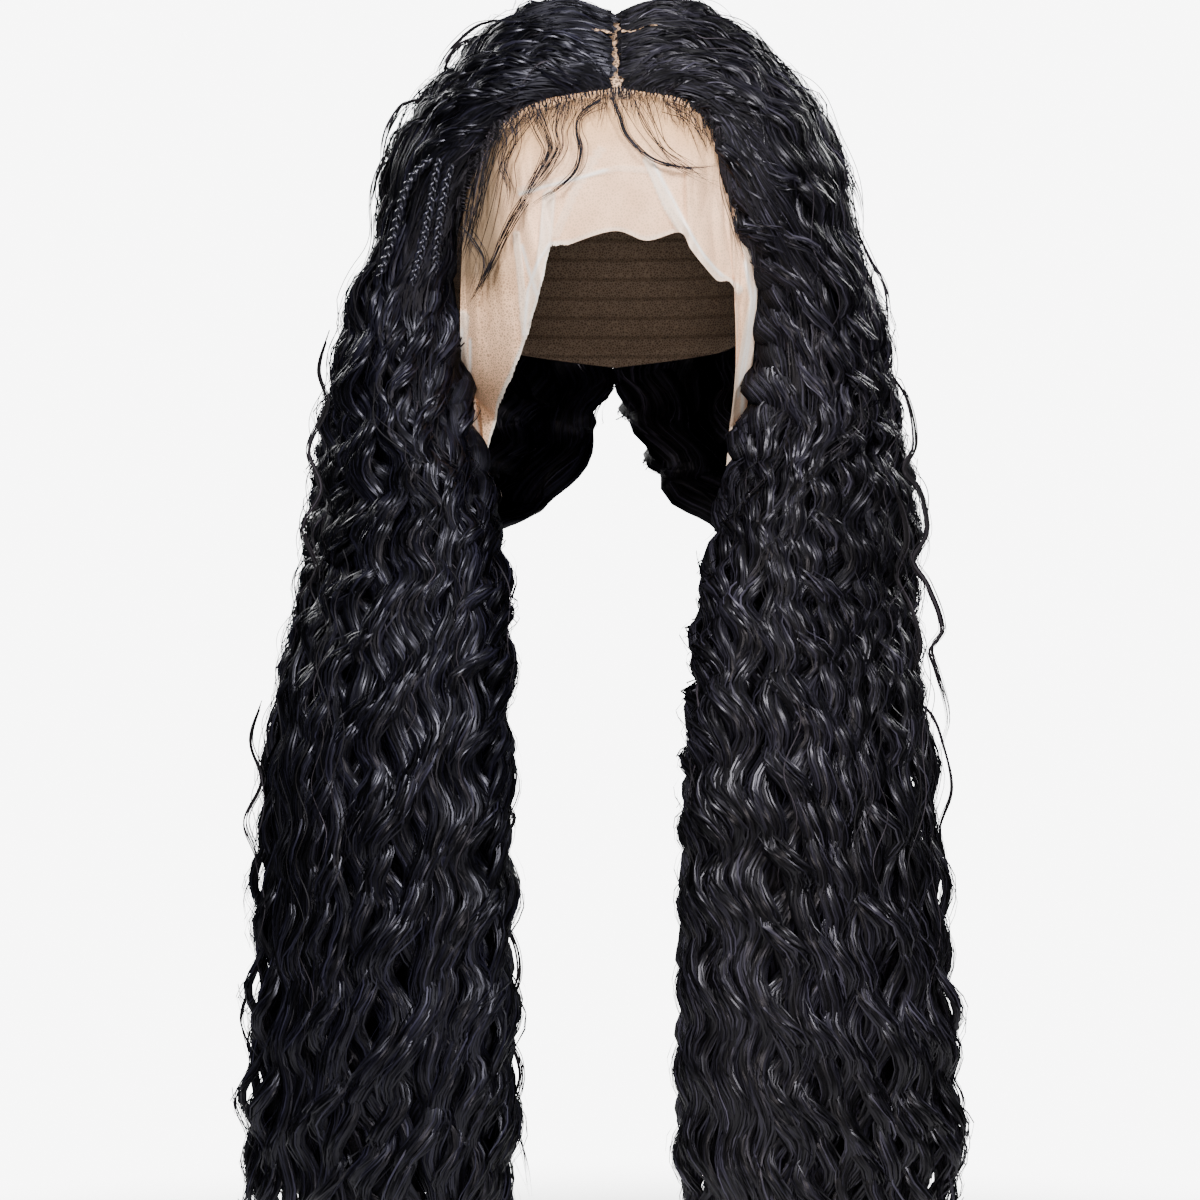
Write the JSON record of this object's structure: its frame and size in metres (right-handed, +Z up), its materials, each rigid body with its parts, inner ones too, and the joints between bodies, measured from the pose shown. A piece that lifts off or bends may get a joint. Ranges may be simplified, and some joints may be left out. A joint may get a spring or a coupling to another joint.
{
  "type": "wig",
  "caption": "Long wavy wig with small braids: black hair in two front curtains from a middle parting on a lace cap, with an untrimmed lace front.",
  "frame": {"origin": "inner crown of the cap, where the wig sits on the top of a head", "axes": "+Z up out of the crown, -Y the way the wearer's face looks, +X to the viewer's right from in front"},
  "size_m": [0.2957, 0.2482, 0.5525],
  "materials": {
    "cap_lace": "matte stretch lace",
    "front_lace": "sheer net",
    "crown_left": "glossy hair",
    "crown_right": "glossy hair",
    "curtain_left": "glossy hair",
    "curtain_right": "glossy hair",
    "braid_1": "plaited hair",
    "braid_2": "plaited hair",
    "braid_3": "plaited hair"
  },
  "bodies": {
    "root": {"lace_cap": "cap_lace", "lace_front": "front_lace", "crown_hair_left": "crown_left", "crown_hair_right": "crown_right", "curtain_left": "curtain_left", "curtain_right": "curtain_right", "braid_left_1": "braid_1", "braid_left_2": "braid_2", "braid_left_3": "braid_3"}
  },
  "joints": []
}
